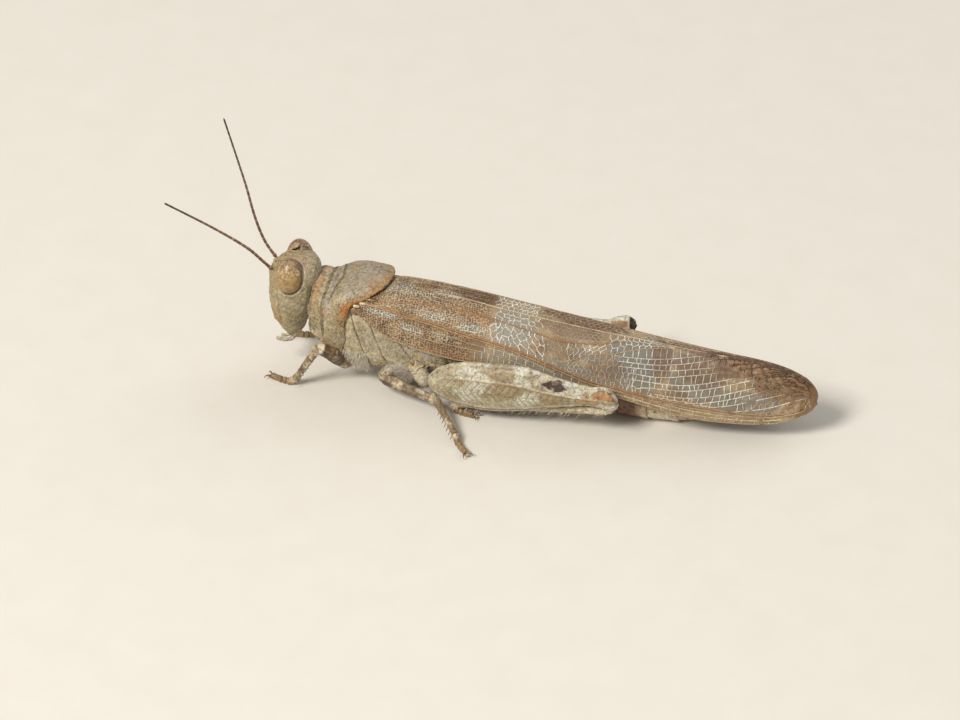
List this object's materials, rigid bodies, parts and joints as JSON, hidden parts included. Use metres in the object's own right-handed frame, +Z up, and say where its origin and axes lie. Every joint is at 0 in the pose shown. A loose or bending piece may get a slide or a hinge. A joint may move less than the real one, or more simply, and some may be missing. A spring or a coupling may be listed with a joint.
{
  "type": "grasshopper",
  "caption": "Slender band-winged sand grasshopper standing on flat ground, long netted wings folded past its folded jumping legs, feelers raised.",
  "frame": {"origin": "on the floor, under the middle of the whole model's bounding box", "axes": "+X runs from the head to the wing tips, +Y to the animal's own right, +Z up"},
  "size_m": [0.0374, 0.0138, 0.0133],
  "materials": {
    "cuticle": "grey-olive beige insect cuticle, finely pitted, satin",
    "eye": "tan compound eye, smooth, mottled pinkish brown",
    "antenna": "dark brown cuticle ringed with paler tan, satin",
    "pleura": "grey-olive side plates with dark seams and a dusty bloom",
    "abdomen": "cream and tan plates with small dark marks, satin",
    "forewing": "leathery to clear wing membrane, brown bands, white and rust veins",
    "hindwing": "folded smoky clear membrane with brown veins",
    "leg": "tan cuticle with grey-brown bands, satin",
    "jumping_thigh": "cream cuticle with light brown bands and a herringbone relief"
  },
  "bodies": {
    "root": {"abdomen_1": "abdomen", "abdomen_2": "abdomen", "abdomen_3": "abdomen", "abdomen_4": "abdomen", "abdomen_5": "abdomen", "abdomen_6": "abdomen", "abdomen_7": "abdomen", "abdomen_8": "abdomen", "abdomen_tip": "abdomen", "antenna_left": "antenna", "antenna_right": "antenna", "coxa_fore_left": "leg", "coxa_fore_right": "leg", "coxa_hind_left": "leg", "coxa_hind_right": "leg", "coxa_mid_left": "leg", "coxa_mid_right": "leg", "eye_left": "eye", "eye_right": "eye", "femur_fore_left": "leg", "femur_fore_right": "leg", "femur_hind_left": "jumping_thigh", "femur_hind_right": "jumping_thigh", "femur_mid_left": "leg", "femur_mid_right": "leg", "forewing_left": "forewing", "forewing_right": "forewing", "head": "cuticle", "hindwing_left": "hindwing", "hindwing_right": "hindwing", "mouthparts": "cuticle", "neck": "pleura", "pronotum": "cuticle", "prothorax": "pleura", "tarsus_fore_left": "leg", "tarsus_fore_right": "leg", "tarsus_hind_left": "leg", "tarsus_hind_right": "leg", "tarsus_mid_left": "leg", "tarsus_mid_right": "leg", "thorax": "pleura", "tibia_fore_left": "leg", "tibia_fore_right": "leg", "tibia_hind_left": "leg", "tibia_hind_right": "leg", "tibia_mid_left": "leg", "tibia_mid_right": "leg"}
  },
  "joints": []
}
